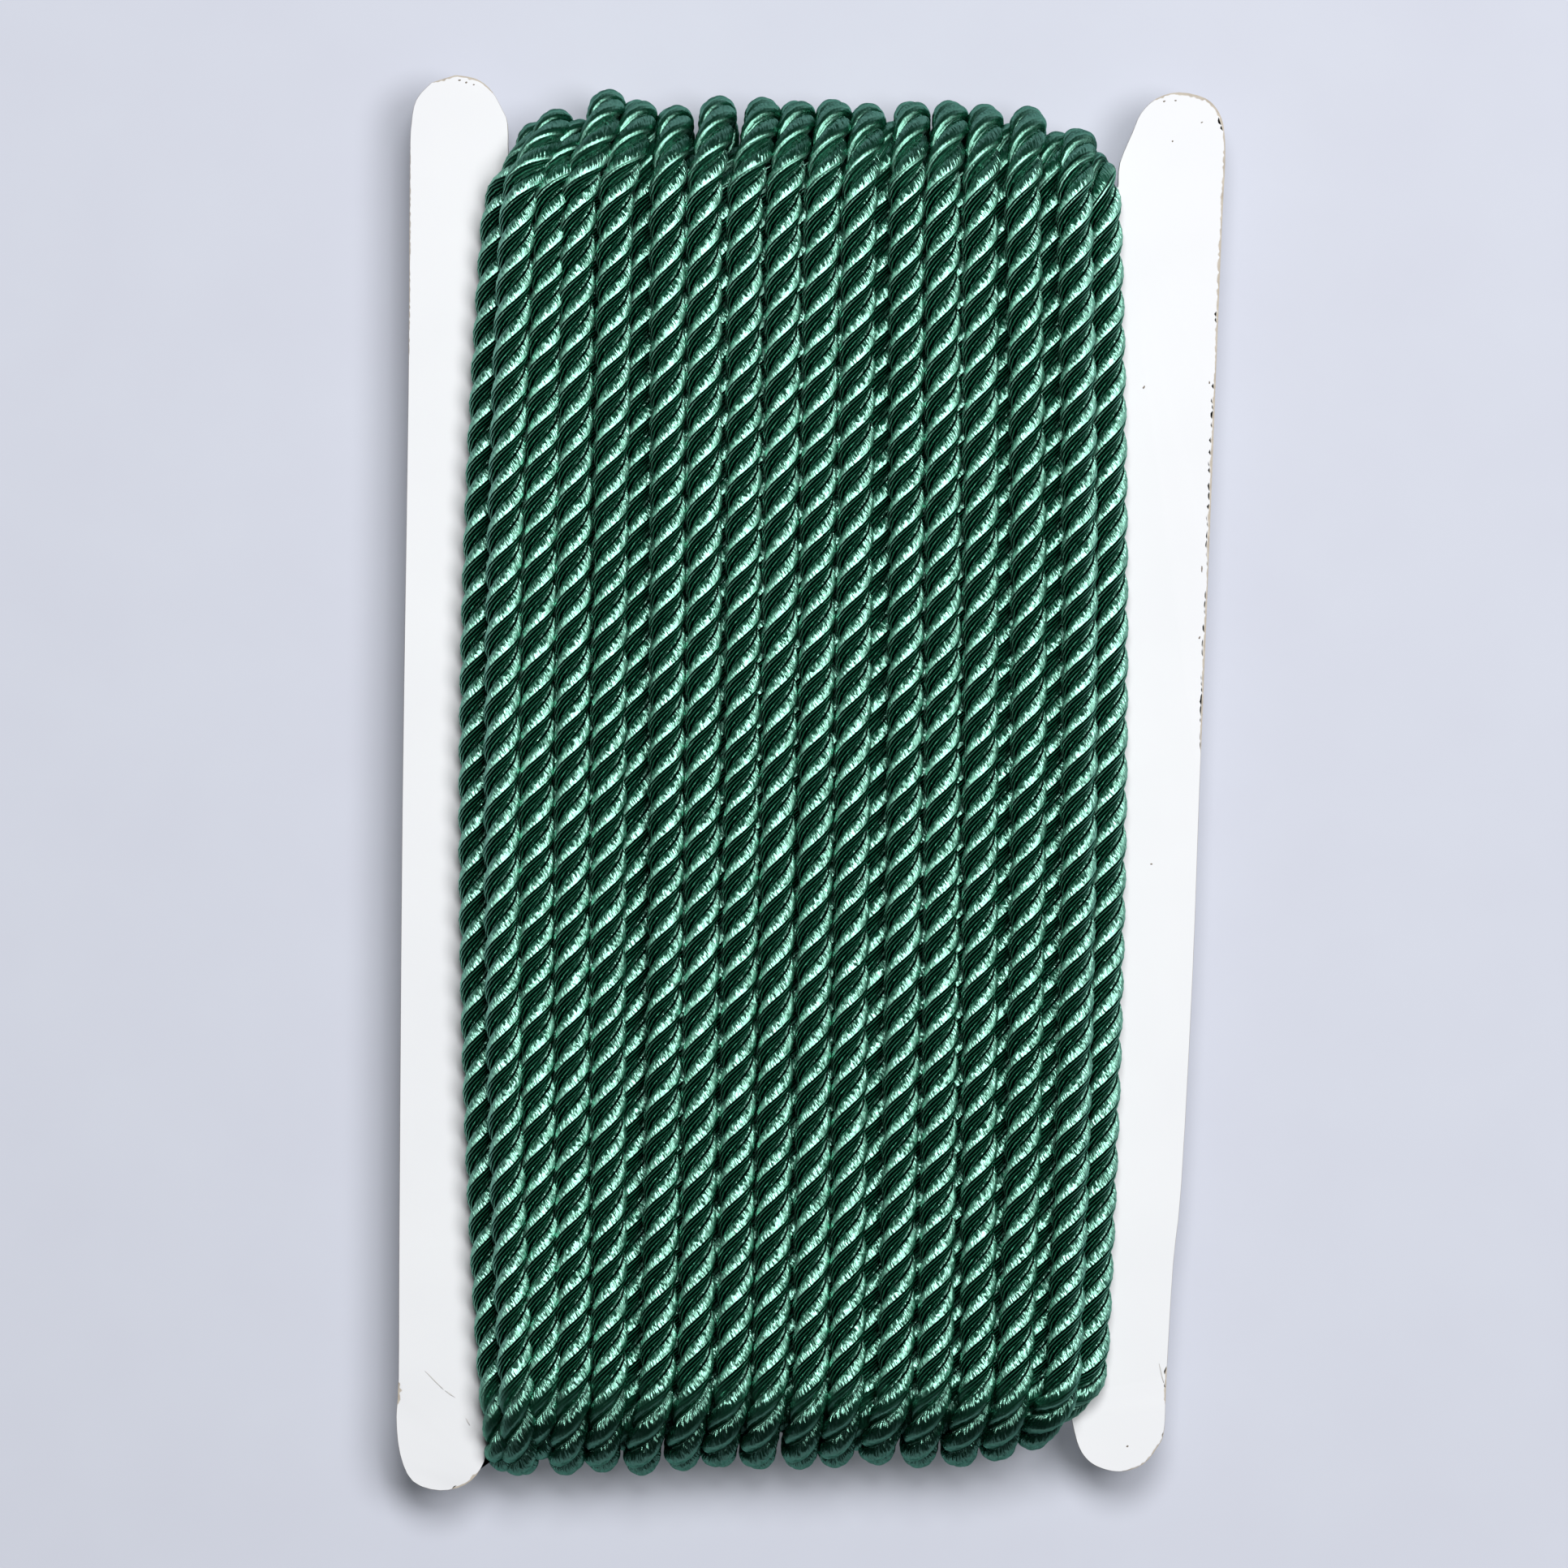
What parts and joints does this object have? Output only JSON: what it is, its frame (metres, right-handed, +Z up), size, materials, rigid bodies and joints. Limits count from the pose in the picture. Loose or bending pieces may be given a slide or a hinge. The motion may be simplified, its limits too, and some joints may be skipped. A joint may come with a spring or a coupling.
{
  "type": "twisted cord trim wound on a card",
  "caption": "Thick three-ply twisted cord trim, wound up and down in close upright turns on a white notched card.",
  "frame": {"origin": "under the middle of the card, on the plane that the backs of the cord's turns rest on", "axes": "+X across the card, +Y along the turns towards the top notch, +Z up out of the front"},
  "size_m": [0.1102, 0.1882, 0.0211],
  "materials": {
    "cord": "satin green viscose thread wrapped on three plies that are twisted together",
    "board": "smooth bleached board with die-cut edges"
  },
  "bodies": {
    "root": {"wound_cord": "cord", "winding_card": "board"}
  },
  "joints": []
}
